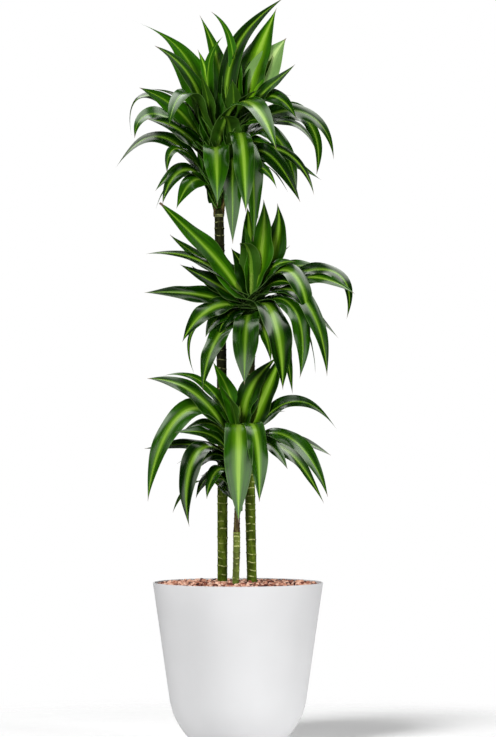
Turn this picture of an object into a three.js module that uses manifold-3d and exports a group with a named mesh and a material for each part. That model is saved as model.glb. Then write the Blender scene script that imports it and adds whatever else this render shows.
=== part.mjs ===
// Potted dracaena: three ringed canes of different height in a round tapered pot filled with clay pebbles,
// each cane topped by a head of long strap leaves. Millimetres, +Z up, origin at the middle of the pot base.
import * as THREE from 'three';
import { mergeVertices } from 'three/addons/utils/BufferGeometryUtils.js';
import Module from 'manifold-3d';

const wasm = await Module();
wasm.setup();

const touchingGap = 0.3;
const degree = Math.PI / 180;

// Pot
const potHeight = 385;
const rimRadius = 200;
const wallThickness = 5;
const floorThickness = 8;
const lipRounding = 1.2;
const baseRadius = 95;
const shoulderRadius = 161;
const shoulderHeight = 112;
const bellyRadius = 151;
const bellyHeight = 46;
const bellySteps = 4;
const potSides = 36;

// Clay pebble fill
const fillTop = 379;
const fillMound = 3;
const pebbleRelief = 5;
const pebbleUnevenness = 2;
const pebbleRings = 16;
const fillWallGap = 0.5;
const fitInFlats = Math.cos(Math.PI / potSides);
const rimEdgeDrop = 1.5;
const caneDepth = 120;

// Canes: where each leaves the fill and where it ends, its radius there, and the pitch of its leaf scars
const caneSides = 8;
const scarHeight = 0.9;
const scarFall = 3;
const canes = [
  { name: 'tall_cane', bottom: [-37, 35, fillTop], top: [-45, 35, 1253], radii: [12, 11], pitch: 44, bow: 3 },
  { name: 'middle_cane', bottom: [33, 0, fillTop], top: [30, -3, 1000], radii: [12, 11], pitch: 44, bow: -4 },
  { name: 'short_cane', bottom: [-6, -45, fillTop], top: [-3, -45, 505], radii: [8, 8], pitch: 26, bow: 1 },
];

// Leaves: height of the root up its shoot, direction seen from above (0 right, 90 back, 180 left, -90 front),
// how far out and how high the tip lies from the root, slope at the root and at the tip, widest width, roll of
// the blade, and how full its arch is.
const bladeThickness = 2.6;
const tipThickness = 1.2;
const rootWidth = 0.12;
const widestFrom = 0.35;
const widestTo = 0.4;
const openFold = 14;
const rootFold = 20;
const foldedPart = 0.3;
const rolledPart = 0.35;
const edgeWave = 0.04;
const wavesPerBlade = 2.5;

const leftShootLeaves = [
  [225, 160, 205, 240, 78, 20, 60, -50, 1.1],
  [155, 205, 153, 236, 82, 22, 52, -60, 1],
  [190, 150, 128, 190, 70, 45, 56, -50, 1],
  [225, 170, 36, 165, 85, 65, 34, -60, 1],
  [205, 0, 24, 215, 100, 45, 34, 60, 1],
  [205, 215, 122, -10, 68, -88, 46, -45, 1.7],
  [175, 172, 178, 126, 40, 22, 50, -55, 1],
  [190, 160, 208, 0, 46, -102, 34, -35, 1.35],
  [165, 188, 188, 12, 38, -88, 52, -55, 1.15],
  [135, 208, 179, 83, 38, 5, 54, -55, 1],
  [110, 172, 238, 2, 40, -55, 40, -50, 1.4],
  [105, 205, 124, -12, 36, -92, 34, -40, 1.5],
  [85, 195, 147, -34, 42, -55, 38, -50, 1.1],
  [80, 210, 143, -61, 40, -78, 40, -45, 1.2],
  [65, 225, 130, -59, 45, -65, 42, -45, 1.1],
  [158, -86, 130, -147, 33, -85, 58, 0, 1],
  [150, 190, 38, 125, 85, 60, 54, -65, 1],
  [150, -25, 160, 3, 82, -74, 54, 35, 1.75],
  [215, 240, 60, 120, 75, 60, 40, -20, 1],
  [225, 60, 50, 140, 85, 60, 44, 20, 1],
];
const rightShootLeaves = [
  [190, 160, 84, 287, 82, 62, 44, -55, 1],
  [240, 155, 64, 244, 88, 35, 24, -50, 1],
  [180, 120, 48, 202, 85, 85, 54, 20, 1],
  [170, 25, 140, 352, 105, 34, 44, 50, 1.2],
  [240, 25, 108, 256, 68, 66, 64, 50, 1],
  [190, 100, 14, 228, 88, 84, 46, 0, 1],
  [255, 15, 90, 125, 55, 65, 46, 50, 1],
  [245, 18, 126, 178, 50, 50, 72, 75, 1],
  [235, -25, 155, 115, 38, 42, 44, 55, 1],
  [255, -28, 160, -34, 34, -60, 44, 50, 1.15],
  [210, 10, 241, -77, 36, -86, 42, 55, 1.12],
  [180, -15, 204, -33, 42, -75, 30, 40, 1],
  [205, 25, 219, -103, 40, -102, 50, 60, 1.25],
  [198, -78, 146, -200, 28, -86, 48, 0, 1],
  [150, -87, 125, -225, 20, -90, 46, 0, 1],
  [165, -60, 104, -234, 40, -97, 48, 0, 1],
  [155, -35, 199, -132, 25, -62, 42, 30, 1],
  [200, -12, 152, -153, 34, -88, 42, 35, 1],
  [165, 25, 173, -113, 20, -70, 28, 25, 1],
  [130, 5, 219, -47, 22, -35, 32, 40, 1],
  [140, -20, 211, -99, 35, -78, 28, 25, 1],
  [105, -45, 164, -52, 22, -65, 32, 20, 1],
  [200, -110, 85, 20, 45, -30, 48, 0, 1],
  [225, -95, 60, 90, 70, 40, 46, 0, 1],
  [235, -50, 95, 55, 60, 5, 42, 20, 1],
  [240, 100, 45, 190, 88, 70, 46, 10, 1],
];
const middleShootLeaves = [
  [55, 200, 226, 218, 50, 44, 64, -62, 1],
  [80, 195, 198, 120, 25, 42, 46, -50, 1],
  [50, 205, 270, 102, 45, -8, 34, -50, 1.05],
  [45, 190, 142, 84, 22, 50, 52, -50, 1],
  [38, 198, 175, 92, 32, 28, 50, -50, 1],
  [28, 200, 265, 35, 22, -3, 46, -55, 1],
  [25, 215, 195, -78, 28, -62, 48, -40, 1],
  [8, 225, 158, -174, 2, -86, 46, -20, 1],
  [15, -98, 110, -167, 12, -88, 58, 0, 1],
  [48, -115, 66, 128, 92, -20, 44, 0, 1.1],
  [110, 130, 31, 127, 88, 70, 46, 20, 1],
  [80, -20, 30, 205, 70, 96, 62, 75, 1],
  [90, 0, 60, 187, 50, 102, 48, 70, 1.1],
  [90, -20, 110, 47, 40, -5, 42, 50, 1],
  [80, -28, 150, -73, 47, -90, 44, 40, 1.45],
  [85, 10, 196, 24, 40, -28, 42, 45, 1],
  [70, -10, 246, -9, 28, -38, 44, 45, 1],
  [65, -4, 224, -62, 34, -105, 40, 40, 1.3],
  [65, -28, 199, -197, 30, -88, 44, 35, 1.1],
  [45, -38, 143, -182, 24, -105, 48, 25, 1.2],
  [50, 25, 168, -173, 16, -88, 36, 25, 1.05],
  [50, -62, 155, -214, 14, -90, 62, 0, 1],
  [10, -65, 111, -111, 0, -75, 32, 0, 1],
  [35, -45, 136, -207, 5, -80, 32, 15, 1],
  [65, 205, 150, 30, 32, -25, 56, -45, 1],
];
const shortShootLeaves = [
  [230, 200, 226, 128, 46, 0, 52, -58, 1],
  [260, 170, 182, 105, 55, -15, 30, -40, 1],
  [228, 195, 219, -156, 60, -85, 54, -45, 1.3],
  [222, 185, 135, 8, 45, -42, 36, -45, 1],
  [205, 205, 165, 28, 25, -5, 42, -50, 1],
  [195, 188, 222, 0, 15, -5, 36, -45, 1],
  [200, 215, 139, -186, 28, -105, 50, -30, 1.15],
  [112, 200, 104, -34, 55, -75, 36, -35, 1.15],
  [140, 190, 83, 22, 45, -30, 34, -35, 1],
  [280, 150, 72, 118, 65, 60, 38, -50, 1],
  [250, 0, 88, 159, 88, 44, 56, 65, 1],
  [275, 10, 81, 108, 68, 5, 26, 40, 1],
  [245, -10, 102, 176, 42, 72, 60, 65, 1],
  [235, -20, 243, 2, 42, -55, 42, 50, 1.25],
  [230, -30, 237, -146, 27, -72, 44, 35, 1],
  [190, 10, 204, -125, 42, -62, 46, 45, 1.1],
  [210, -5, 216, -31, 20, -32, 32, 40, 1],
  [270, -91, 110, -246, 20, -90, 64, 0, 1],
  [262, -66, 114, -189, 26, -93, 46, 5, 1.1],
  [130, 96, 150, -60, 35, -75, 30, 0, 1],
  [200, 95, 110, 60, 60, 10, 32, 0, 1],
  [170, 205, 112, -30, 40, -60, 40, -35, 1],
];

// Shoots: foot and growing tip, the hand-placed leaves towards the front and sides, and the directions of the
// leaves at the back, which the seeded rule in backLeaves shapes. They leave room for the canes that pass.
const shootRadii = [8, 5];
const shootSides = 6;
const collarHeight = 14;
const shoots = {
  left: {
    foot: [-49, 35, 1253],
    tip: [-61, 20, 1496],
    leaves: leftShootLeaves,
    back: [95, 125, 60, 110, 78],
    seed: 11,
  },
  right: {
    foot: [-40, 35, 1253],
    tip: [0, 30, 1531],
    leaves: rightShootLeaves,
    back: [70, 100, 50, 85, 115, 60],
    seed: 12,
  },
  middle: {
    foot: [30, -3, 1000],
    tip: [33, -6, 1125],
    leaves: middleShootLeaves,
    back: [45, 85, 65, 110, 30, 95],
    seed: 13,
  },
  short: {
    foot: [-3, -45, 505],
    tip: [4, -48, 800],
    leaves: shortShootLeaves,
    back: [150, 165, 20, 12],
    seed: 14,
  },
};

const materials = {
  pot: new THREE.MeshStandardMaterial({ color: 0xe6e6e6, roughness: 0.7, metalness: 0 }),
  pebbles: new THREE.MeshStandardMaterial({ color: 0xb47a5c, roughness: 0.95, metalness: 0 }),
  cane: new THREE.MeshStandardMaterial({ color: 0x55602a, roughness: 0.8, metalness: 0 }),
  leaf: new THREE.MeshStandardMaterial({ color: 0x3c6b1e, roughness: 0.4, metalness: 0 }),
};

function seededDraw(seed) {
  let state = seed;
  return (low, high) => {
    state = (state * 16807) % 2147483647;
    return low + ((high - low) * state) / 2147483647;
  };
}

function closedGeometry(positions, triangles) {
  const geometry = new THREE.BufferGeometry();
  geometry.setAttribute('position', new THREE.Float32BufferAttribute(positions, 3));
  geometry.setIndex(triangles);
  return geometry;
}

// Shared vertices are merged and triangles without area, as at a lathe's poles, are dropped.
function toSolid(geometry) {
  const bare = geometry.clone();
  bare.deleteAttribute('normal');
  bare.deleteAttribute('uv');
  const merged = mergeVertices(bare, 1e-4);
  const index = merged.index.array;
  const triangles = [];
  for (let i = 0; i < index.length; i += 3) {
    const [a, b, c] = [index[i], index[i + 1], index[i + 2]];
    if (a !== b && b !== c && c !== a) triangles.push(a, b, c);
  }
  const mesh = new wasm.Mesh({
    numProp: 3,
    vertProperties: Float32Array.from(merged.attributes.position.array),
    triVerts: Uint32Array.from(triangles),
  });
  mesh.merge();
  return new wasm.Manifold(mesh);
}

function toGeometry(solid) {
  const mesh = solid.getMesh();
  return closedGeometry(Array.from(mesh.vertProperties), Array.from(mesh.triVerts));
}

// Fusing blades can seal a small hollow among their roots: only the outer skin is kept, so it is filled.
function outerSkin(solid) {
  const skins = solid.decompose();
  return skins.reduce((most, skin) => (skin.volume() > most.volume() ? skin : most));
}

// A profile of [radius, height] points turned about the Z axis, wound so that its faces point out.
function turned(profile, sides) {
  const points = profile.map(([radius, height]) => new THREE.Vector2(radius, height));
  return new THREE.LatheGeometry(points, sides).rotateX(Math.PI / 2);
}

function placed(geometry, [x, y, z]) {
  return geometry.translate(x, y, z);
}

// ---- pot ----
function potWall(inset) {
  const shoulder = new THREE.Vector2(shoulderRadius - inset, shoulderHeight);
  const belly = new THREE.Vector2(bellyRadius - inset, bellyHeight);
  const foot = new THREE.Vector2(baseRadius - inset, inset > 0 ? floorThickness : 0);
  const curve = new THREE.QuadraticBezierCurve(foot, belly, shoulder);
  return curve.getPoints(bellySteps).map((point) => [point.x, point.y]);
}

function makePot() {
  const inner = rimRadius - wallThickness;
  const lip = [
    [rimRadius, potHeight - lipRounding],
    [rimRadius - lipRounding, potHeight],
    [inner + lipRounding, potHeight],
    [inner, potHeight - lipRounding],
  ];
  const profile = [[0, 0], ...potWall(0), ...lip, ...potWall(wallThickness).reverse(), [0, floorThickness]];
  return turned(profile, potSides);
}

// ---- clay pebble bed ----
// The top is a disc of triangles in rings of 6, 12, 18 ... points. Every third point is the crown of a pebble
// and stands proud of the points around it, so the whole top is covered with pebbles.
function innerRadiusAt(height) {
  const run = (height - shoulderHeight) / (potHeight - shoulderHeight);
  return THREE.MathUtils.lerp(shoulderRadius, rimRadius, run) * fitInFlats - wallThickness - fillWallGap;
}

function pebbleHeight(ring, place, draw) {
  if (ring === pebbleRings) return fillTop - rimEdgeDrop;
  const mound = fillMound * (1 - (ring / pebbleRings) ** 2);
  const crown = (ring + place) % 3 === 0;
  return fillTop + mound + (crown ? pebbleRelief + draw(-pebbleUnevenness, pebbleUnevenness) : 0);
}

function addRing(positions, radius, count, heightAt) {
  const first = positions.length / 3;
  for (let place = 0; place < count; place += 1) {
    const turn = (place / count) * 2 * Math.PI;
    positions.push(radius * Math.cos(turn), radius * Math.sin(turn), heightAt(place));
  }
  return first;
}

// Joins a ring of 6 x ring points to the smaller ring inside it, sector by sector.
function addDiscBand(triangles, ring, outerFirst, innerFirst) {
  const outer = (sector, step) => outerFirst + ((sector * ring + step) % (6 * ring));
  const innerCount = 6 * (ring - 1);
  const inner = (sector, step) => innerFirst + (ring === 1 ? 0 : (sector * (ring - 1) + step) % innerCount);
  for (let sector = 0; sector < 6; sector += 1) {
    for (let step = 0; step < ring; step += 1) {
      triangles.push(outer(sector, step), outer(sector, step + 1), inner(sector, step));
      if (step === ring - 1) continue;
      triangles.push(inner(sector, step), outer(sector, step + 1), inner(sector, step + 1));
    }
  }
}

function addWallBand(triangles, count, above, below) {
  for (let place = 0; place < count; place += 1) {
    const next = (place + 1) % count;
    triangles.push(above + place, below + place, above + next, above + next, below + place, below + next);
  }
}

function makePebbleBed() {
  const draw = seededDraw(5);
  const topRadius = innerRadiusAt(fillTop);
  const positions = [0, 0, fillTop + fillMound + pebbleRelief];
  const triangles = [];
  let edge = 0;
  for (let ring = 1; ring <= pebbleRings; ring += 1) {
    const radius = (ring / pebbleRings) * topRadius;
    const first = addRing(positions, radius, 6 * ring, (place) => pebbleHeight(ring, place, draw));
    addDiscBand(triangles, ring, first, edge);
    edge = first;
  }
  const sides = 6 * pebbleRings;
  const floor = floorThickness + touchingGap;
  const wall = potWall(wallThickness + fillWallGap).reverse().filter((_, i) => i % 2 === 0);
  for (const [radius, height] of wall) {
    const first = addRing(positions, radius * fitInFlats, sides, () => Math.max(height, floor));
    addWallBand(triangles, sides, edge, first);
    edge = first;
  }
  const middle = addRing(positions, 0, 1, () => floor);
  for (let place = 0; place < sides; place += 1) {
    triangles.push(middle, edge + ((place + 1) % sides), edge + place);
  }
  let bed = toSolid(closedGeometry(positions, triangles));
  for (const cane of canes) bed = bed.subtract(toSolid(caneHole(cane)));
  return toGeometry(bed);
}

// ---- canes ----
function caneHole({ bottom: [x, y, z], radii: [radius] }) {
  const wide = radius + scarHeight + 4 * touchingGap;
  const low = -caneDepth - touchingGap;
  const high = 3 * pebbleRelief;
  return placed(turned([[0, low], [wide, low], [wide, high], [0, high]], 2 * caneSides), [x, y, z]);
}

function makeCane({ bottom, top, radii, pitch, bow }) {
  const from = new THREE.Vector3(...bottom);
  const rise = new THREE.Vector3(...top).sub(from);
  const profile = [[0, -caneDepth], [radii[0], -caneDepth]];
  for (let height = pitch / 2; height < rise.z - scarFall; height += pitch) {
    const radius = THREE.MathUtils.lerp(radii[0], radii[1], height / rise.z);
    profile.push([radius, height - scarFall], [radius + scarHeight, height]);
  }
  profile.push([radii[1], rise.z], [0, rise.z]);
  const geometry = turned(profile, caneSides);
  const position = geometry.attributes.position;
  for (let i = 0; i < position.count; i += 1) {
    const run = Math.max(position.getZ(i), 0) / rise.z;
    const aside = bow * Math.sin(Math.PI * run);
    position.setX(i, position.getX(i) + rise.x * run + aside);
    position.setY(i, position.getY(i) + rise.y * run);
  }
  return placed(geometry, bottom);
}

// ---- leaves ----
function bladeWidth(t) {
  if (t < widestFrom) return rootWidth + (1 - rootWidth) * Math.sin((Math.PI / 2) * (t / widestFrom));
  if (t < widestTo) return 1;
  return (1 - ((t - widestTo) / (1 - widestTo)) ** 2) ** 1.2;
}

// The midrib is one cubic arc in the upright plane of the leaf's direction, set by its two ends and slopes.
function midrib(root, [, turn, reach, height, rootSlope, tipSlope, , , fullness]) {
  const outward = new THREE.Vector3(Math.cos(turn * degree), Math.sin(turn * degree), 0);
  const point = (out, up) => root.clone().addScaledVector(outward, out).add(new THREE.Vector3(0, 0, up));
  const bend = Math.max(Math.abs(rootSlope - tipSlope) * degree, 0.02);
  const hold = ((2 / 3) * Math.tan(bend / 4) * Math.hypot(reach, height) * fullness) / Math.sin(bend / 2);
  const [a, b] = [rootSlope * degree, tipSlope * degree];
  return new THREE.CubicBezierCurve3(
    point(0, 0),
    point(hold * Math.cos(a), hold * Math.sin(a)),
    point(reach - hold * Math.cos(b), height - hold * Math.sin(b)),
    point(reach, height),
  );
}

// A blade is keeled: two edges, and a midrib with a top and a bottom. Its root is folded about the shoot.
function makeBlade(root, leaf) {
  const [, turn, , , rootSlope, tipSlope, width, roll] = leaf;
  const curve = midrib(root, leaf);
  const across = new THREE.Vector3(-Math.sin(turn * degree), Math.cos(turn * degree), 0);
  const steps = 4 + Math.round(Math.abs(rootSlope - tipSlope) / 60);
  const lengths = curve.getLengths(steps);
  const positions = [];
  for (let step = 0; step < steps; step += 1) {
    const t = lengths[step] / lengths[steps];
    const centre = curve.getPoint(step / steps);
    const along = curve.getTangent(step / steps);
    const upper = along.clone().cross(across).normalize();
    const twist = roll * degree * Math.min(t / rolledPart, 1);
    const side = across.clone().applyAxisAngle(along, twist);
    const top = upper.clone().applyAxisAngle(along, twist);
    const fold = (openFold + rootFold * (1 - Math.min(t / foldedPart, 1)) ** 1.5) * degree;
    const half = (width * bladeWidth(t)) / 2;
    const wave = width * edgeWave * Math.sin(2 * Math.PI * wavesPerBlade * t + turn);
    const thick = THREE.MathUtils.lerp(bladeThickness, tipThickness, t) / 2;
    const edge = (hand, lift) => centre.clone()
      .addScaledVector(side, hand * half * Math.cos(fold))
      .addScaledVector(top, half * Math.sin(fold) + lift);
    positions.push(...edge(-1, wave), ...centre.clone().addScaledVector(top, thick));
    positions.push(...edge(1, -wave), ...centre.clone().addScaledVector(top, -thick));
  }
  positions.push(...curve.getPoint(1));
  const triangles = [0, 1, 3, 1, 2, 3];
  for (let step = 0; step < steps - 1; step += 1) {
    for (let corner = 0; corner < 4; corner += 1) {
      const next = (corner + 1) % 4;
      const near = 4 * step;
      const far = near + 4;
      // the diagonal always starts at a midrib point, so both faces are split alike
      const fromMidrib = corner % 2 === 1;
      const [a, b, c, d] = [near + corner, near + next, far + next, far + corner];
      if (fromMidrib) triangles.push(a, c, b, a, d, c);
      else triangles.push(b, a, d, b, d, c);
    }
  }
  const last = 4 * (steps - 1);
  for (let corner = 0; corner < 4; corner += 1) {
    triangles.push(last + corner, last + 4, last + ((corner + 1) % 4));
  }
  return closedGeometry(positions, triangles);
}

// Leaves behind the shoot, where the front hides them: the lowest hang, the highest stand almost upright.
function backLeaves({ back, seed }, length) {
  const draw = seededDraw(seed);
  return back.map((turn, i) => {
    const high = (i + 0.5) / back.length;
    return [
      length * (0.3 + 0.6 * high), turn + draw(-4, 4), 190 - 110 * high + draw(-15, 15),
      -110 + 300 * high + draw(-20, 20), 20 + 60 * high, -85 + 140 * high, draw(38, 50), draw(-20, 20), 1,
    ];
  });
}

function makeShoot(shoot) {
  const foot = new THREE.Vector3(...shoot.foot);
  const tip = new THREE.Vector3(...shoot.tip);
  const length = foot.distanceTo(tip);
  const axis = tip.clone().sub(foot).normalize();
  const sunk = collarHeight / 2;
  const profile = [[0, sunk], [shootRadii[0], sunk], [shootRadii[1], length - 15], [0, length]];
  const core = turned(profile, shootSides);
  core.applyQuaternion(new THREE.Quaternion().setFromUnitVectors(new THREE.Vector3(0, 0, 1), axis));
  const solids = [toSolid(placed(core, shoot.foot))];
  for (const leaf of [...shoot.leaves, ...backLeaves(shoot, length)]) {
    solids.push(toSolid(makeBlade(foot.clone().addScaledVector(axis, leaf[0]), leaf)));
  }
  return solids;
}

// A head is a short collar on the cane's cut top with the shoots that grow from it and all their leaves.
function makeHead(cane, parts) {
  const radius = cane.radii[1] - 0.5;
  const profile = [[0, touchingGap], [radius, touchingGap], [radius - 1.5, collarHeight], [0, collarHeight]];
  const collar = turned(profile, caneSides);
  const solids = [toSolid(placed(collar, cane.top)), ...parts.flatMap(makeShoot)];
  return toGeometry(outerSkin(wasm.Manifold.union(solids)));
}

const [tallCane, middleCane, shortCane] = canes;
const pieces = [
  ['pot', makePot(), materials.pot],
  ['clay_pebble_bed', makePebbleBed(), materials.pebbles],
  ...canes.map((cane) => [cane.name, makeCane(cane), materials.cane]),
  ['tall_cane_leaves', makeHead(tallCane, [shoots.left, shoots.right]), materials.leaf],
  ['middle_cane_leaves', makeHead(middleCane, [shoots.middle]), materials.leaf],
  ['short_cane_leaves', makeHead(shortCane, [shoots.short]), materials.leaf],
];

const plant = new THREE.Group();
for (const [name, geometry, material] of pieces) {
  const mesh = new THREE.Mesh(geometry, material);
  mesh.name = name;
  plant.add(mesh);
}

export default plant;
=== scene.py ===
import math
import random

import bpy
import numpy as np
from mathutils import Matrix, Vector


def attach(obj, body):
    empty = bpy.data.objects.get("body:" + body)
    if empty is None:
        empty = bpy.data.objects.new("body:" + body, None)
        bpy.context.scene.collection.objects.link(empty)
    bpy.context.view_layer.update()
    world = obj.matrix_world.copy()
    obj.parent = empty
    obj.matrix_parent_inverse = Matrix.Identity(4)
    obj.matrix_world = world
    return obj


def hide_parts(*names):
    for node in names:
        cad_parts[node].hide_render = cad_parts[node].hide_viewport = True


# Potted dracaena: three ringed canes in a round pot of clay pebbles, each with a head of long striped leaves.
# Sizes are in millimetres until they are placed, and the frame is in metres.
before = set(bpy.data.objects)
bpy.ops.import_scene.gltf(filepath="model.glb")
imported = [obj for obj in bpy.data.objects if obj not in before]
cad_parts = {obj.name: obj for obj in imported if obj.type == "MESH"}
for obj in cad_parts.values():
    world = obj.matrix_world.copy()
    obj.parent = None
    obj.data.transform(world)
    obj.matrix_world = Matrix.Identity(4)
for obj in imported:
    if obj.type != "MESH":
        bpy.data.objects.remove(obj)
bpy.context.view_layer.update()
mm = 0.001
print("frame loaded:", len(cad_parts), "nodes")


# ---- working helpers ----
def deselectAll():
    if bpy.context.mode != "OBJECT":
        bpy.ops.object.mode_set(mode="OBJECT")
    bpy.ops.object.select_all(action="DESELECT")


def pick(piece):
    deselectAll()
    piece.select_set(True)
    bpy.context.view_layer.objects.active = piece
    return piece


def justAdded(name):
    piece = bpy.context.object
    piece.name = name
    piece.data.name = name
    return piece


def copyOf(piece, name):  # a copy with its own mesh
    twin = bpy.data.objects.new(name, piece.data.copy())
    bpy.context.scene.collection.objects.link(twin)
    return twin


def joinAll(pieces, name):
    deselectAll()
    for piece in pieces:
        piece.select_set(True)
    bpy.context.view_layer.objects.active = pieces[0]
    bpy.ops.object.join()
    return justAdded(name)


def pointsOf(piece):
    flat = np.empty(len(piece.data.vertices) * 3)
    piece.data.vertices.foreach_get("co", flat)
    return flat.reshape(-1, 3)


def movePoints(piece, points):
    piece.data.vertices.foreach_set("co", points.ravel())
    piece.data.update()


def keepValue(piece, name, values):  # a number at each vertex, for the materials
    layer = piece.data.attributes.new(name, "FLOAT", "POINT")
    layer.data.foreach_set("value", np.broadcast_to(values, len(piece.data.vertices)).astype(np.float32))


def smooth(piece, angle):
    pick(piece)
    bpy.ops.object.shade_smooth_by_angle(angle=math.radians(angle))


def extrudeRings(name, sides, rings):  # a closed solid from rings of (radius, height), each grown from the last
    deselectAll()
    radius, height = rings[0]
    centre = (0, 0, height * mm)
    bpy.ops.mesh.primitive_circle_add(vertices=sides, radius=radius * mm, fill_type="NGON", location=centre)
    bpy.ops.object.transform_apply(location=True)
    bpy.ops.object.mode_set(mode="EDIT")
    bpy.ops.mesh.select_all(action="SELECT")
    for nextRadius, nextHeight in rings[1:]:
        bpy.ops.mesh.extrude_region_move(TRANSFORM_OT_translate={"value": (0, 0, (nextHeight - height) * mm)})
        wider = nextRadius / radius
        bpy.ops.transform.resize(value=(wider, wider, 1), center_override=(0, 0, nextHeight * mm))
        radius, height = nextRadius, nextHeight
    bpy.ops.mesh.select_all(action="SELECT")
    bpy.ops.mesh.normals_make_consistent(inside=False)
    bpy.ops.object.mode_set(mode="OBJECT")
    return justAdded(name)


def place(piece, node, slotName, *materials):  # a finished piece takes its node's part in the frame
    for material in materials:
        piece.data.materials.append(material)
    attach(piece, "root")
    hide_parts(node)
    return piece


# ---- shader helpers ----
class Wire:  # one socket, with Python's own signs for the maths on it
    def __init__(self, tree, socket=None):
        self.tree, self.socket = tree, socket

    def node(self, kind, settings=None, values=None, output=0):
        made = self.tree.nodes.new("ShaderNode" + kind)
        for name, value in (settings or {}).items():
            if name == "stops":
                self.setStops(made.color_ramp, value)
            else:
                setattr(made, name, value)
        for name, value in (values or {}).items():
            if isinstance(value, Wire):
                self.tree.links.new(value.socket, made.inputs[name])
            else:
                made.inputs[name].default_value = value
        return Wire(self.tree, made.outputs[output])

    def setStops(self, ramp, stops):
        while len(ramp.elements) < len(stops):
            ramp.elements.new(0.5)
        for element, (position, colour) in zip(ramp.elements, stops):
            element.position, element.color = position, colour

    def math(self, operation, *values):
        return self.node("Math", {"operation": operation}, dict(enumerate(values)))

    def __add__(self, other):
        return self.math("ADD", self, other)

    def __sub__(self, other):
        return self.math("SUBTRACT", self, other)

    def __rsub__(self, other):
        return self.math("SUBTRACT", other, self)

    def __mul__(self, other):
        return self.math("MULTIPLY", self, other)

    def __truediv__(self, other):
        return self.math("DIVIDE", self, other)

    __radd__, __rmul__ = __add__, __mul__

    def distance(self):
        return self.math("ABSOLUTE", self)

    def ease(self, low, high):  # 0 at low and 1 at high, or falling where low is the larger
        edges = {"Value": self, "From Min": low, "From Max": high}
        return self.node("MapRange", {"interpolation_type": "SMOOTHSTEP"}, edges)

    def stretch(self, scale):
        return self.node("Mapping", None, {"Vector": self, "Scale": scale})

    def noise(self, scale, detail, roughness=0.5):
        inputs = {"Vector": self, "Scale": scale, "Detail": detail, "Roughness": roughness}
        return self.node("TexNoise", None, inputs, "Fac")

    def ramp(self, *stops):
        return self.node("ValToRGB", {"stops": stops}, {"Fac": self})

    def towards(self, colour, amount):  # this colour, mixed with another
        return self.node("Mix", {"data_type": "RGBA"}, {0: amount, 6: self, 7: colour}, 2)


def srgb(red, green, blue):  # the numbers that a colour picker shows, made linear
    def linear(value):
        value /= 255
        return value / 12.92 if value <= 0.04045 else ((value + 0.055) / 1.055) ** 2.4
    return (linear(red), linear(green), linear(blue), 1)


def newMaterial(name, **constants):  # a material, and a wire to start its nodes from
    material = bpy.data.materials.new(name)
    material.use_nodes = True
    shader = material.node_tree.nodes["Principled BSDF"]
    for socket, value in constants.items():
        shader.inputs[socket.replace("_", " ")].default_value = value
    return material, Wire(material.node_tree)


def feed(material, **wires):  # links the varying sockets, with Bump as the height of a bump that feeds Normal
    tree = material.node_tree
    shader = tree.nodes["Principled BSDF"]
    for socket, wire in wires.items():
        if socket == "Bump":
            height, strength, distance = wire
            wire = height.node("Bump", None, {"Strength": strength, "Distance": distance, "Height": height})
            socket = "Normal"
        tree.links.new(wire.socket, shader.inputs[socket.replace("_", " ")])
    return material


# ---- pot ----
potShape = {
    "height": 385, "rimRadius": 200, "wall": 5, "floor": 8, "floorRing": 20, "lipRounding": 1.6, "lipSteps": 8,
    "baseRadius": 95, "shoulderRadius": 161, "shoulderHeight": 112, "bellyRadius": 151, "bellyHeight": 46,
    "footRounding": 3, "bellySteps": 14, "wallSteps": (0.25, 0.5, 0.75), "sides": 144,
    "colour": srgb(167, 167, 168), "shade": srgb(163, 163, 164), "roughness": 0.55,
    "cloudScale": 5, "grainScale": 900, "grainDepth": 0.0004,
}


def potCurve(inset, low):  # the rounded lower wall, from the foot up to the shoulder
    steps = potShape["bellySteps"]
    foot = (potShape["baseRadius"] - inset, low)
    belly = (potShape["bellyRadius"] - inset, potShape["bellyHeight"])
    shoulder = (potShape["shoulderRadius"] - inset, potShape["shoulderHeight"])
    rings = []
    for step in range(steps + 1):
        run = step / steps
        weights = (1 - run) ** 2, 2 * run * (1 - run), run ** 2
        rings.append(tuple(weights[0] * a + weights[1] * b + weights[2] * c for a, b, c in zip(foot, belly, shoulder)))
    return rings


def wallRadius(height):  # the outside of the straight upper wall
    run = (height - potShape["shoulderHeight"]) / (potShape["height"] - potShape["shoulderHeight"])
    return potShape["shoulderRadius"] + run * (potShape["rimRadius"] - potShape["shoulderRadius"])


def potRadius(height):  # the inside of the same wall
    return wallRadius(height) - potShape["wall"]


def modelPot():
    top, rim, wall, rounding = (potShape[key] for key in ("height", "rimRadius", "wall", "lipRounding"))
    base, foot, shoulder = (potShape[key] for key in ("baseRadius", "footRounding", "shoulderHeight"))
    heights = [shoulder + (top - shoulder) * share for share in potShape["wallSteps"]]
    rings = [(base - foot, 0), (base - foot * 0.3, foot * 0.2), *potCurve(0, 0)[1:]]
    rings += [(wallRadius(height), height) for height in heights]
    for step in range(potShape["lipSteps"] + 1):  # a rounded lip from the outer wall over to the inner one
        angle = math.pi * step / potShape["lipSteps"]
        centre = rim - rounding if angle < math.pi / 2 else rim - wall + rounding
        rings.append((centre + rounding * math.cos(angle), top - rounding + rounding * math.sin(angle)))
    rings += [(potRadius(height), height) for height in reversed(heights)]
    rings += potCurve(wall, potShape["floor"])[::-1]
    rings.append((potShape["floorRing"], potShape["floor"]))
    piece = extrudeRings("pot", potShape["sides"], rings)
    smooth(piece, 40)
    return piece


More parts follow.
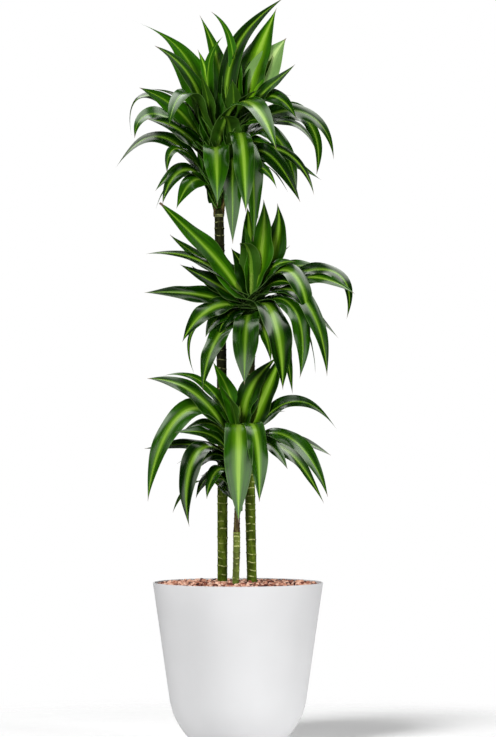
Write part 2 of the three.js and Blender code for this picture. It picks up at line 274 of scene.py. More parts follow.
def potMaterial():
    material, wire = newMaterial("mattePotPlastic", Roughness=potShape["roughness"])
    spot = wire.node("TexCoord", output="Object")
    cloud = spot.noise(potShape["cloudScale"], 2)
    grain = spot.noise(potShape["grainScale"], 2)
    colour = cloud.ramp((0.35, potShape["shade"]), (0.65, potShape["colour"]))
    return feed(material, Base_Color=colour, Roughness=0.5 + 0.12 * grain, Bump=(grain, 0.05, potShape["grainDepth"]))


place(modelPot(), "pot", "planter", potMaterial())
print("pot made")


# ---- clay pebbles ----
bedShape = {
    "top": 378.5, "mound": 3, "edgeDrop": 1.5, "floor": 8.6, "floorRadius": 80, "wallGap": 0.8, "sides": 96,
    "topRings": (1, 0.9, 0.75, 0.55, 0.35, 0.15, 0.02), "canes": ((-37, 35), (33, 0), (-6, -45)),
    "pebbleSize": 10.8, "shapes": 6, "pebbleSides": 7, "pebbleRings": 5, "dents": 0.07,
    "spacing": 8.5, "cell": 10, "tries": 22000, "unevenness": 2, "caneGap": 15, "loose": 40, "looseGap": 18, "seed": 5,
    # the bed's two browns below are painted shade for the gaps between the pebbles
    "speckleScale": 420, "poreScale": 1100, "gritScale": 300, "dark": srgb(40, 20, 16), "paintedGapShade": srgb(92, 50, 38),
    "colours": [
        (0.0, srgb(40, 20, 16)), (0.28, srgb(100, 50, 38)), (0.44, srgb(150, 100, 80)), (0.64, srgb(186, 138, 116)),
        (0.85, srgb(214, 178, 158)), (1.0, srgb(110, 68, 54)),
    ],
}


def bedHeight(radius):
    run = radius / potRadius(bedShape["top"])
    return bedShape["top"] + bedShape["mound"] * (1 - run * run) - bedShape["edgeDrop"] * run ** 6


def modelBed():
    gap = bedShape["wallGap"]
    curve = potCurve(potShape["wall"], potShape["floor"])
    wallRings = [(radius - gap, max(height, bedShape["floor"])) for radius, height in curve]
    edge = potRadius(bedShape["top"]) - gap
    topRings = [(edge * share, bedHeight(edge * share)) for share in bedShape["topRings"]]
    floorRing = (bedShape["floorRadius"], bedShape["floor"])
    piece = extrudeRings("clay_bed", bedShape["sides"], [floorRing, *wallRings[1:], *topRings])
    smooth(piece, 50)
    return piece


def clearOfCanes(x, y, gap):
    return all(math.hypot(x - caneX, y - caneY) > gap for caneX, caneY in bedShape["canes"])


def pebbleShapes():  # a few dented stones to copy
    shapes = []
    for number in range(bedShape["shapes"]):
        deselectAll()
        sides, rings = bedShape["pebbleSides"], bedShape["pebbleRings"]
        bpy.ops.mesh.primitive_uv_sphere_add(segments=sides, ring_count=rings, radius=0.5)
        bpy.ops.object.mode_set(mode="EDIT")
        bpy.ops.mesh.select_all(action="SELECT")
        bpy.ops.transform.vertex_random(offset=bedShape["dents"], seed=number + 1)
        bpy.ops.object.mode_set(mode="OBJECT")
        shape = justAdded("pebble_shape")
        bpy.ops.object.shade_smooth()
        shapes.append(shape)
    return shapes


def pebblePlaces(draw):
    size, cell = bedShape["pebbleSize"], bedShape["cell"]
    reach = potRadius(bedShape["top"]) - size * 0.5
    places, taken = [], {}
    for attempt in range(bedShape["tries"]):  # no two are nearer than the spacing
        x, y = draw.uniform(-reach, reach), draw.uniform(-reach, reach)
        column, row = int(x // cell), int(y // cell)
        near = [p for i in (-1, 0, 1) for j in (-1, 0, 1) for p in taken.get((column + i, row + j), [])]
        if math.hypot(x, y) > reach or any(math.hypot(x - p[0], y - p[1]) < bedShape["spacing"] for p in near):
            continue
        if not clearOfCanes(x, y, bedShape["caneGap"]):
            continue
        taken.setdefault((column, row), []).append((x, y))
        places.append((x, y, bedHeight(math.hypot(x, y)) + draw.uniform(-1, 1) * bedShape["unevenness"] + 0.5))
    for extra in range(bedShape["loose"]):  # a few lie on top of the others
        turn, out = draw.uniform(0, 2 * math.pi), reach * math.sqrt(draw.random()) * 0.95
        x, y = out * math.cos(turn), out * math.sin(turn)
        if clearOfCanes(x, y, bedShape["looseGap"]):
            places.append((x, y, bedHeight(out) + size * 0.4))
    return places


def modelPebbles():
    shapes, draw, pebbles = pebbleShapes(), random.Random(bedShape["seed"]), []
    for x, y, z in pebblePlaces(draw):
        pebble = copyOf(draw.choice(shapes), "pebble")
        scale = bedShape["pebbleSize"] * draw.uniform(0.8, 1.15) * mm
        spin = Matrix.Rotation(draw.uniform(0, 6.28), 4, "Z") @ Matrix.Rotation(draw.uniform(0, 6.28), 4, "X")
        squash = Matrix.Diagonal((scale * draw.uniform(0.9, 1.2), scale, scale * draw.uniform(0.75, 0.95), 1))
        pebble.data.transform(Matrix.Translation((x * mm, y * mm, z * mm)) @ spin @ squash)
        keepValue(pebble, "pebbleTone", draw.random())
        pebbles.append(pebble)
    for shape in shapes:
        bpy.data.objects.remove(shape)
    return joinAll(pebbles, "clay_pebbles")


def pebbleMaterial():
    material, wire = newMaterial("bakedClay", Roughness=0.9)
    spot = wire.node("TexCoord", output="Object")
    tone = wire.node("Attribute", {"attribute_name": "pebbleTone"}, output="Fac")
    speckle = spot.noise(bedShape["speckleScale"], 3, 0.6)
    colour = (tone + 0.25 * (speckle - 0.5)).ramp(*bedShape["colours"])
    pores = spot.noise(bedShape["poreScale"], 2)
    return feed(material, Base_Color=colour, Roughness=0.8 + 0.15 * speckle, Bump=(pores + speckle, 0.5, 0.0006))


def bedMaterial():
    # painted shade: the bed under the pebbles is dark brown to stand in for the shade in the gaps between them
    material, wire = newMaterial("clayBedGapShade", Roughness=0.95)
    grit = wire.node("TexCoord", output="Object").noise(bedShape["gritScale"], 3, 0.6)
    colour = grit.ramp((0.3, bedShape["dark"]), (0.75, bedShape["paintedGapShade"]))
    return feed(material, Base_Color=colour, Bump=(grit, 0.6, 0.001))


place(modelBed(), "clay_pebble_bed", "clay_pebbles", bedMaterial())
place(modelPebbles(), "clay_pebble_bed", "clay_pebbles", pebbleMaterial())
print("pebbles made")


# ---- canes ----
caneShape = {
    "sides": 28, "depth": 100, "scarHeight": 0.8, "scarHalf": 0.7,
    "tilt": 2.6, "wander": 0.8, "lumps": 0.025, "seed": 21,
    "canes": [
        {
            "name": "tall_cane", "bottom": (-37, 35, 379), "top": (-45, 35, 1253), "radii": (12, 11),
            "pitch": (13, 22), "bow": 3, "knot": 1.6, "crotch": 14, "worn": 0,
        },
        {
            "name": "middle_cane", "bottom": (33, 0, 379), "top": (30, -3, 1000), "radii": (12, 11),
            "pitch": (13, 22), "bow": -4, "knot": 0.6, "crotch": 5, "worn": 0,
        },
        {
            "name": "short_cane", "bottom": (-6, -45, 379), "top": (-3, -45, 505), "radii": (8, 8),
            "pitch": (10, 18), "bow": 1, "knot": 0.6, "crotch": 2, "worn": 0.08,
        },
    ],
    "blotchScale": 70, "streakScale": 420, "breakScale": 85, "brownFrom": (0.66, 0.9), "fadeFrom": (0.7, 0.95),
    "green": srgb(56, 71, 12), "dark": srgb(39, 50, 5), "pale": srgb(82, 96, 28),
    "brown": srgb(28, 30, 10), "bark": srgb(11, 12, 3), "scar": srgb(168, 172, 112),
}


def caneRings(cane, rise, draw):  # its (radius, height) from below the pebbles up, and the edges of its leaf scars
    (low, high), crotch, half = cane["radii"], cane["crotch"], caneShape["scarHalf"]
    rings, scars, height = [(low, -caneShape["depth"]), (low, -3)], [], 4
    while height < rise - 6:
        radius = low + (high - low) * height / rise + draw.uniform(-0.3, 0.3)
        lift = caneShape["scarHeight"] * draw.uniform(0.5, 1.2)
        rings += [
            (radius, height - 2.2 * half), (radius + lift, height - half),
            (radius + lift, height + half), (radius - 0.2, height + 2.5 * half),
        ]
        scars += [height - half, height + half]
        height += draw.uniform(*cane["pitch"])
    knot = high + cane["knot"]  # a ring round the top, and above it the wood that the shoots grow from
    rings += [
        (high, rise - 6), (knot, rise - 3), (knot, rise - 1.6),
        (high, rise), (high * 0.85, rise + crotch * 0.6), (high * 0.5, rise + crotch),
    ]
    return rings, np.array([*scars, rise - 3, rise - 1.6])


def modelCane(cane, draw):
    rise = cane["top"][2] - cane["bottom"][2]
    rings, scars = caneRings(cane, rise, draw)
    piece = extrudeRings(cane["name"] + "_bark", caneShape["sides"], rings)
    points = pointsOf(piece) / mm
    heights, turn = points[:, 2].copy(), np.arctan2(points[:, 1], points[:, 0])
    onScar = np.min(np.abs(heights[:, None] - scars[None, :]), axis=1) < 0.05
    keepValue(piece, "scar", onScar.astype(float))
    keepValue(piece, "worn", cane["worn"])
    phase = draw.uniform(0, 6)
    live = np.clip(heights / 20, 0, 1) * np.clip((rise - heights) / 20, 0, 1)  # nothing wanders near the ends
    points[:, 2] += live * caneShape["tilt"] * np.sin(turn + phase + heights * 0.013) * np.cos(heights * 0.031 + phase)
    points[:, 2] += live * caneShape["wander"] * np.sin(3 * turn + heights * 0.05)
    lump = 1 + live * caneShape["lumps"] * np.sin(2 * turn + heights * 0.021 + phase)
    points[:, :2] *= lump[:, None]
    run = np.clip(heights / rise, 0, 1)
    points[:, 0] += (cane["top"][0] - cane["bottom"][0]) * run + cane["bow"] * np.sin(np.pi * run)
    points[:, 1] += (cane["top"][1] - cane["bottom"][1]) * run
    movePoints(piece, (points + np.array(cane["bottom"])) * mm)
    smooth(piece, 60)
    return piece


def caneMaterial():
    material, wire = newMaterial("ringedCane", Roughness=0.6, Specular_IOR_Level=0.08)
    spot = wire.node("TexCoord", output="Object")
    height = wire.node("SeparateXYZ", None, {"Vector": spot}, "Z")
    scar = wire.node("Attribute", {"attribute_name": "scar"}, output="Fac")
    worn = wire.node("Attribute", {"attribute_name": "worn"}, output="Fac")
    blotch = spot.stretch((1, 1, 0.35)).noise(caneShape["blotchScale"], 3, 0.6)
    streak = spot.stretch((1, 1, 0.08)).noise(caneShape["streakScale"], 2)
    green = blotch.ramp((0.36, caneShape["dark"]), (0.52, caneShape["green"]), (0.7, caneShape["pale"]))
    brown = streak.ramp((0.35, caneShape["bark"]), (0.68, caneShape["brown"]))
    woody = (height + 0.12 * (blotch - 0.5)).ease(*caneShape["brownFrom"])
    bark = green.towards(caneShape["scar"], worn).towards(brown, woody)
    broken = spot.noise(caneShape["breakScale"], 3, 0.6).ease(0.42, 0.62)
    faint = 0.75 - 0.45 * height.ease(*caneShape["fadeFrom"])
    colour = bark.towards(caneShape["scar"], faint * scar * broken)
    return feed(material, Base_Color=colour, Roughness=0.5 + 0.25 * streak, Bump=(streak + blotch, 0.35, 0.0006))


caneDraw = random.Random(caneShape["seed"])
barkMaterial = caneMaterial()
for cane in caneShape["canes"]:
    place(modelCane(cane, caneDraw), cane["name"], "cane", barkMaterial)
print("canes made")


# ---- leaves ----
# Each row is one leaf: height of the root up its shoot, direction seen from above (0 right, 90 back, 180 left,
# -90 front), how far out and how high the tip lies from the root, slope at the root and at the tip, widest width,
# roll of the blade, and how full its arch is. A row may end with how late the blade is widest, how much more it
# tapers, how wide its stripe is, how dark its tone is, the share that its roll takes, and whether it has a painted
# silvery sheen.
leftShootLeaves = [
    [225, 160, 205, 240, 78, 20, 62, -50, 1.1, {"taper": 2.8, "late": 0.95, "stripe": 0.15, "tone": 0.2}],
    [155, 205, 153, 236, 82, 22, 52, -60, 1, {"stripe": 0.35}],
    [190, 150, 128, 190, 70, 45, 56, -50, 1, {"stripe": 0.3}],
    [225, 170, 36, 165, 85, 65, 34, -60, 1, {"stripe": 0.8}],
    [205, 0, 24, 215, 100, 45, 34, 60, 1, {"stripe": 0.1}],
    [205, 223, 140, -10, 66, -80, 52, -14, 1.55, {"late": 1.4, "stripe": 0.2}],
    [175, 172, 178, 126, 40, 22, 50, -55, 1, {"late": 1.3}],
    [190, 160, 208, 0, 46, -102, 34, -35, 1.35, {"taper": 0.8}],
    [165, 188, 188, 12, 38, -88, 58, -36, 1.15, {"late": 1.4, "stripe": 0.2}],
    [135, 208, 179, 83, 38, 5, 54, -55, 1, {"late": 1.2}],
    [110, 172, 238, 2, 40, -55, 40, -50, 1.4, {"late": 1.1, "taper": 0.7, "stripe": 0.3}],
    [105, 205, 124, -12, 36, -92, 34, -40, 1.5],
    [85, 195, 147, -34, 42, -55, 38, -50, 1.1],
    [80, 210, 143, -61, 40, -78, 40, -45, 1.2],
    [65, 225, 130, -59, 45, -65, 42, -45, 1.1],
    [158, -86, 130, -147, 33, -85, 58, 0, 1, {"late": 1.25, "taper": 0.6, "stripe": 0.45}],
    [150, 190, 38, 125, 85, 60, 54, -65, 1, {"late": 1.6, "stripe": 0.5}],
    [150, -43, 200, -10, 80, -70, 64, 15, 1.5, {"late": 1.3, "stripe": 0.95, "tone": 0.1}],
    [215, 240, 60, 120, 75, 60, 40, -20, 1],
    [225, 60, 50, 140, 85, 60, 44, 20, 1],
    [200, 165, 153, 99, 55, 5, 24, -30, 1],
    [75, 165, 148, -61, 42, -72, 28, -30, 1.15],
    [130, 200, 105, 60, 60, 15, 52, -40, 1, {"tone": 0.1, "stripe": 0.1}],
    [50, 135, 50, 190, 84, 74, 62, -10, 1, {"tone": 0.2, "stripe": 0.35}],
    [80, 52, 40, 180, 88, 78, 58, 15, 1, {"tone": 0.2, "stripe": 0.25}],
    [100, 150, 70, 150, 80, 60, 58, -45, 1, {"tone": 0.1, "stripe": 0.2}],
    [185, 98, 172, 74, 64, -20, 46, 0, 1],
    [120, 82, 184, -2, 46, -52, 44, 10, 1.1],
    [160, 120, 164, 40, 56, -36, 44, -10, 1],
]
rightShootLeaves = [
    [190, 160, 84, 287, 82, 62, 44, -55, 1, {"stripe": 0.4}],
    [240, 155, 64, 244, 88, 35, 24, -50, 1, {"stripe": 0.1, "tone": 0.1}],
    [180, 140, 32, 202, 85, 85, 58, 20, 1],
    [170, 25, 140, 352, 105, 34, 44, 50, 1.2, {"stripe": 0.3, "late": 1.2}],
    [240, 25, 108, 256, 68, 66, 64, 50, 1, {"stripe": 0.9, "late": 1.2}],
    [190, 62, 14, 228, 88, 84, 50, 0, 1, {"stripe": 0.95, "late": 1.4}],
    [255, 15, 90, 125, 55, 65, 46, 42, 1, {"stripe": 1.3, "tone": 0}],
    [245, 18, 126, 178, 50, 50, 72, 75, 1, {"late": 1.5, "stripe": 0.95, "tone": 0, "pale": True}],
    [235, -25, 155, 115, 38, 42, 44, 55, 1, {"stripe": 0.35, "tone": 0.7}],
    [255, -28, 160, -34, 34, -60, 44, 50, 1.15, {"late": 1.3, "stripe": 0.3}],
    [210, 10, 241, -77, 36, -86, 42, 55, 1.12, {"late": 1.2, "stripe": 0.2}],
    [180, -15, 204, -33, 42, -75, 30, 40, 1],
    [205, 25, 219, -103, 40, -102, 50, 60, 1.25, {"late": 1.6, "stripe": 0.5}],
    [198, -78, 146, -200, 28, -86, 48, 0, 1, {"late": 1.5, "stripe": 0.65, "tone": 0.3}],
    [150, -87, 125, -225, 20, -90, 46, 0, 1, {"stripe": 0.12, "tone": 0.3}],
    [165, -60, 104, -234, 40, -97, 48, 0, 1, {"stripe": 0.15, "tone": 0.2}],
    [155, -35, 199, -132, 25, -62, 38, 58, 1, {"stripe": 0.15}],
    [200, -12, 152, -153, 34, -88, 38, 60, 1, {"stripe": 0.2}],
    [165, 25, 173, -113, 20, -70, 26, 55, 1],
    [130, 5, 219, -47, 22, -35, 30, 62, 1],
    [140, -20, 211, -99, 35, -78, 26, 58, 1],
    [105, -45, 164, -52, 22, -65, 28, 55, 1],
    [200, -110, 85, 20, 45, -30, 48, 0, 1],
    [225, -95, 60, 90, 70, 40, 46, 0, 1],
    [235, -50, 95, 55, 60, 5, 42, 20, 1],
    [240, 100, 45, 190, 88, 70, 46, 10, 1],
    [215, 10, 6, 180, 110, 75, 32, 60, 1],
    [230, 20, 142, 56, 40, -10, 22, 30, 1],
    [120, 40, 185, -59, 30, -55, 26, 25, 1],
    [190, -40, 110, 20, 55, -20, 50, 35, 1, {"tone": 0.1, "stripe": 0.15}],
    [160, -20, 120, -25, 40, -45, 46, 35, 1, {"tone": 0.1, "stripe": 0.15}],
    [170, 160, 50, 160, 86, 66, 58, -60, 1, {"tone": 0.2, "stripe": 0.3}],
    [180, 30, 45, 165, 80, 72, 56, 50, 1, {"tone": 0.1, "stripe": 0.5}],
    [120, 128, 40, 190, 86, 78, 60, 0, 1, {"tone": 0.2, "stripe": 0.3}],
    [190, 82, 176, 58, 62, -28, 46, 10, 1],
    [150, 104, 180, -12, 48, -58, 46, -10, 1.1],
    [170, 62, 160, 30, 55, -40, 42, 10, 1],
]
middleShootLeaves = [
    [
        55, 200, 226, 218, 50, 44, 64, -62, 1,
        {"stripe": 0.35, "tone": 0.3, "late": 0.85, "taper": -0.2, "rolledBy": 0.1},
    ],
    [80, 195, 198, 120, 25, 42, 46, -50, 1, {"stripe": 0.2}],
    [50, 205, 270, 102, 45, -8, 34, -50, 1.05, {"stripe": 0.5}],
    [45, 190, 142, 84, 22, 50, 52, -50, 1, {"tone": 0.8, "stripe": 0.1}],
    [38, 198, 175, 92, 32, 28, 50, -50, 1, {"tone": 0.9, "stripe": 0.15}],
    [28, 200, 265, 35, 22, -3, 46, -55, 1, {"stripe": 0.3}],
    [25, 215, 195, -78, 28, -62, 48, -40, 1, {"stripe": 0.6}],
    [8, 225, 158, -174, 2, -86, 46, -20, 1, {"late": 1.2, "stripe": 0.4}],
    [15, -98, 110, -167, 12, -88, 58, 0, 1, {"late": 1.3, "stripe": 0.25, "tone": 0.4}],
    [20, 200, 140, -148, 15, -115, 18, -15, 1.2],
    [48, -115, 66, 128, 92, -20, 52, 0, 1.1, {"late": 1.5, "stripe": 0.9}],
    [110, 130, 31, 127, 88, 70, 46, 20, 1, {"tone": 0.1, "stripe": 0.1}],
    [80, -20, 30, 205, 70, 96, 62, 75, 1, {"late": 1.2, "stripe": 0.7}],
    [90, 0, 60, 187, 50, 102, 58, 70, 1.1, {"late": 1.2, "stripe": 0.6}],
    [90, -20, 110, 47, 40, -5, 42, 50, 1, {"stripe": 0.5}],
    [80, -28, 150, -90, 47, -88, 54, 30, 1.4, {"late": 1.4, "stripe": 0.6}],
    [85, 10, 196, 24, 40, -28, 42, 45, 1, {"stripe": 0.3}],
    [70, -10, 246, -9, 28, -38, 44, 45, 1, {"stripe": 0.5, "late": 1.2}],
    [65, -4, 224, -62, 34, -105, 40, 40, 1.3, {"stripe": 0.4, "late": 1.4}],
    [65, -28, 199, -197, 30, -88, 44, 35, 1.1, {"stripe": 0.35}],
    [45, -38, 143, -182, 24, -105, 48, 25, 1.2, {"late": 1.3, "stripe": 0.15}],
    [50, 25, 168, -173, 16, -88, 36, 25, 1.05, {"stripe": 0.2}],
    [50, -62, 155, -214, 14, -90, 62, 0, 1, {"late": 1.4, "stripe": 0.6}],
    [10, -65, 111, -111, 0, -75, 32, 0, 1],
    [35, -45, 136, -207, 5, -80, 32, 15, 1],
    [100, 15, 94, 78, 45, 42, 20, 30, 1],
    [30, 20, 100, -141, 10, -100, 24, 20, 1],
    [70, -30, 90, -16, 15, -30, 34, 20, 1],
    [55, -5, 206, -98, 26, -50, 28, 35, 1],
    [40, 195, 120, -12, 22, -50, 54, -45, 1, {"tone": 0.2, "stripe": 0.2}],
    [82, 165, 50, 90, 78, 60, 54, -50, 1, {"tone": 0.8, "stripe": 0.1}],
    [32, 222, 105, -72, 8, -72, 46, -30, 1, {"tone": 0.8, "stripe": 0.1}],
    [22, 212, 125, -62, 12, -70, 46, -30, 1, {"tone": 0.2, "stripe": 0.2}],
    [60, -30, 120, 20, 38, -30, 46, 45, 1, {"stripe": 0.3}],
    [75, 88, 178, 62, 50, -24, 44, 0, 1],
    [55, 112, 182, 18, 38, -40, 44, -10, 1.05],
    [60, 66, 170, 30, 44, -40, 44, 10, 1.05],
    [40, 96, 176, -60, 26, -72, 42, 0, 1.1],
    [40, -20, 125, -40, 24, -60, 44, 35, 1, {"stripe": 0.2}],
    [45, 80, 35, -100, 10, -88, 60, 0, 1, {"tone": 0.9, "stripe": 0.1}],
]
shortShootLeaves = [
    [230, 200, 226, 128, 46, 0, 52, -58, 1, {"stripe": 0.45}],
    [260, 170, 182, 105, 55, -15, 30, -40, 1, {"stripe": 0.2}],
    [228, 195, 219, -156, 60, -85, 54, -45, 1.3, {"late": 1.2, "stripe": 0.6}],
    [222, 185, 135, 8, 45, -42, 36, -45, 1, {"stripe": 0.3}],
    [205, 205, 165, 28, 25, -5, 42, -50, 1, {"stripe": 0.2}],
    [195, 188, 222, 0, 15, -5, 36, -45, 1, {"stripe": 0.2}],
    [200, 215, 139, -186, 28, -105, 50, -30, 1.15, {"late": 1.2, "stripe": 0.5}],
    [112, 200, 104, -34, 55, -75, 36, -35, 1.15],
    [140, 190, 83, 22, 45, -30, 34, -35, 1],
    [280, 150, 72, 118, 65, 60, 38, -50, 1, {"tone": 0.1, "stripe": 0.15}],
    [250, 0, 88, 159, 88, 44, 56, 65, 1, {"stripe": 0.5}],
    [275, 10, 81, 108, 68, 5, 26, 40, 1],
    [245, -10, 102, 176, 42, 72, 60, 65, 1, {"stripe": 0.85}],
    [235, -20, 243, 2, 42, -55, 42, 50, 1.25, {"taper": 1.2, "stripe": 0.12}],
    [230, -30, 237, -146, 27, -72, 44, 35, 1, {"stripe": 0.25}],
    [190, 10, 204, -125, 42, -62, 46, 45, 1.1, {"stripe": 0.7}],
    [210, -5, 216, -31, 20, -32, 32, 40, 1],
    [270, -91, 110, -246, 20, -90, 64, 0, 1, {"late": 1.2, "stripe": 0.7, "tone": 0.2}],
    [262, -66, 114, -189, 26, -93, 46, 5, 1.1, {"late": 1.3, "stripe": 0.6, "tone": 0.3}],
    [130, 96, 150, -60, 35, -75, 30, 0, 1],
    [200, 95, 110, 60, 60, 10, 32, 0, 1],
    [170, 205, 112, -30, 40, -60, 40, -35, 1, {"stripe": 0.3}],
    [150, 220, 95, -72, 32, -85, 36, -25, 1, {"stripe": 0.4}],
    [122, 185, 88, 8, 45, -22, 30, -35, 1],
    [252, 230, 65, 90, 75, 50, 48, -30, 1, {"tone": 0.2, "stripe": 0.2}],
    [245, 80, 165, 62, 58, -24, 42, 0, 1],
    [225, 108, 172, 8, 44, -50, 42, -10, 1.05],
    [210, 84, 168, -50, 34, -76, 40, 0, 1.1],
    [210, -25, 125, -62, 34, -62, 42, 30, 1, {"tone": 0.2, "stripe": 0.2}],
]
shoots = {
    "left": {
        "foot": (-49, 35, 1253), "tip": (-61, 20, 1496), "footAside": -4.5, "girth": 5.4,
        "leaves": leftShootLeaves, "back": [95, 108, 60, 110, 78], "seed": 11,
    },
    "right": {
        "foot": (-40, 35, 1253), "tip": (0, 30, 1531), "footAside": 2.5, "girth": 5.4,
        "leaves": rightShootLeaves, "back": [70, 100, 50, 85, 115, 60], "seed": 12,
    },
    "middle": {
        "foot": (30, -3, 1000), "tip": (33, -6, 1125), "footAside": 0, "girth": 7,
        "leaves": middleShootLeaves, "back": [45, 85, 65, 110, 62, 95], "seed": 13,
    },
    "short": {
        "foot": (-3, -45, 505), "tip": (4, -48, 800), "footAside": 0, "girth": 8.3,
        "leaves": shortShootLeaves, "back": [150, 165, 20, 12], "seed": 14,
    },
}
heads = {
    "tall_cane_leaves": ["left", "right"],
    "middle_cane_leaves": ["middle"],
    "short_cane_leaves": ["short"],
}
bladeShape = {
    "rows": 40, "columns": 8, "thickness": 0.016, "rootWidth": 0.8, "widest": 0.42, "tipPower": 1.1,
    "leastWidth": 0.02, "openFold": 12, "rootFold": 54, "foldedPart": 0.24, "keelRounding": 0.004, "curl": 0.1,
    "broad": 1.08, "sheath": 14, "clasp": 6, "rise": 48, "riseFrom": 6, "riseOver": 90,
    "ripple": 0.018, "ripples": 2.6, "rolledFrom": 0.06, "rolledPart": 0.35, "youngSlope": 20,
    "sheathPoints": 40, "arcPoints": 200, "easedPoints": 90, "easings": 60, "seed": 31,
}


def outline(t):  # share of the widest width, from the broad base to the pointed tip
    root, widest = bladeShape["rootWidth"], bladeShape["widest"]
    rising = root + (1 - root) * np.sin(np.pi / 2 * np.minimum(t / widest, 1))
    past = np.clip((t - widest) / (1 - widest), 0, 1)
    return np.maximum(rising * (1 - past ** 2) ** bladeShape["tipPower"], bladeShape["leastWidth"])


def modelBlade(skins):  # one straight keeled blade, a unit long along X and a unit wide along Y, root at the origin
    deselectAll()
    rows, columns = bladeShape["rows"], bladeShape["columns"]
    bpy.ops.mesh.primitive_grid_add(x_subdivisions=rows, y_subdivisions=columns, size=1, location=(0.5, 0, 0))
    bpy.ops.object.transform_apply(location=True)
    blade = justAdded("blade")
    for along in sorted({round(vertex.co.x, 4) for vertex in blade.data.vertices}):
        bpy.ops.object.mode_set(mode="EDIT")
        bpy.ops.mesh.select_all(action="DESELECT")
        bpy.ops.object.mode_set(mode="OBJECT")
        for vertex in blade.data.vertices:
            vertex.select = abs(vertex.co.x - along) < 0.001
        bpy.ops.object.mode_set(mode="EDIT")
        bpy.ops.transform.resize(value=(1, float(outline(along)), 1), center_override=(along, 0, 0))
    bpy.ops.object.mode_set(mode="OBJECT")
    points = pointsOf(blade)
    t, half = points[:, 0], outline(points[:, 0]) / 2
    side = points[:, 1] / half
    closed = (1 - np.minimum(t / bladeShape["foldedPart"], 1)) ** 1.5
    fold = np.radians(bladeShape["openFold"] + bladeShape["rootFold"] * closed)
    rounding = bladeShape["keelRounding"]
    keel = np.sqrt(side ** 2 + rounding) - math.sqrt(rounding)  # a V with a slightly rounded bottom
    droop = bladeShape["curl"] * np.abs(side) ** 3
    points[:, 1] = half * side * np.cos(fold)
    points[:, 2] = half * (keel * np.sin(fold) - droop)
    movePoints(blade, points)
    pick(blade)
    modifier = blade.modifiers.new("thickness", "SOLIDIFY")
    modifier.thickness, modifier.offset, modifier.material_offset = bladeShape["thickness"], -1, 1
    blade.data.materials.append(skins["leafTop"])
    blade.data.materials.append(skins["leafUnderside"])
    bpy.ops.object.modifier_apply(modifier="thickness")
    smooth(blade, 40)
    return blade


def bezierWeights(u):  # of the four corners of a curve
    return (1 - u) ** 3, 3 * u * (1 - u) ** 2, 3 * u ** 2 * (1 - u), u ** 3


def midrib(root, axis, row):  # a base that hugs the shoot, then one arc in the upright plane of the leaf
    up, turn, reach, height, rootSlope, tipSlope, _, _, fullness = row[:9]
    out = np.array([math.cos(math.radians(turn)), math.sin(math.radians(turn)), 0])
    bend = max(abs(math.radians(rootSlope - tipSlope)), 0.02)
    hold = 2 / 3 * math.tan(bend / 4) * math.hypot(reach, height) * fullness / math.sin(bend / 2)
    a, b = math.radians(rootSlope), math.radians(tipSlope)
    climb = min(max(up - bladeShape["riseFrom"], 0) / bladeShape["riseOver"], 1)
    rise = bladeShape["rise"] * climb  # the base starts lower and climbs close to the shoot
    controls = [
        (0, -rise), (hold * math.cos(a), hold * math.sin(a) + rise / 3),
        (reach - hold * math.cos(b), height - hold * math.sin(b)), (reach, height),
    ]
    u = np.linspace(0, 1, bladeShape["arcPoints"])
    corners = [np.array([away * out[0], away * out[1], lift]) for away, lift in controls]
    arc = sum(weight[:, None] * corner for weight, corner in zip(bezierWeights(u), corners))
    arc += out * (bladeShape["clasp"] * (1 - u) ** 3)[:, None]
    down = np.linspace(-bladeShape["sheath"], 0, bladeShape["sheathPoints"], endpoint=False)
    sheath = out * bladeShape["clasp"] + axis * down[:, None] - np.array([0, 0, rise])
    points, last = root + np.concatenate([sheath, arc]), bladeShape["easedPoints"]
    for easing in range(bladeShape["easings"]):  # eases the turn from the shoot into the arc
        points[1:last] += 0.5 * ((points[:last - 1] + points[2:last + 1]) / 2 - points[1:last])
    return points, out


def alongCurve(curve, out, t):  # at each share of a curve: its place, the way across it, and the way up from it
    gone = np.concatenate([[0], np.cumsum(np.linalg.norm(np.diff(curve, axis=0), axis=1))])
    gone /= gone[-1]
    slope = np.gradient(curve, axis=0)
    centre, along = (np.stack([np.interp(t, gone, parts[:, i]) for i in range(3)], axis=1) for parts in (curve, slope))
    along /= np.linalg.norm(along, axis=1)[:, None]
    across = np.broadcast_to(np.array([-out[1], out[0], 0]), along.shape)
    across = across - along * np.sum(along * across, axis=1)[:, None]
    across /= np.linalg.norm(across, axis=1)[:, None]
    return centre, across, np.cross(along, across)


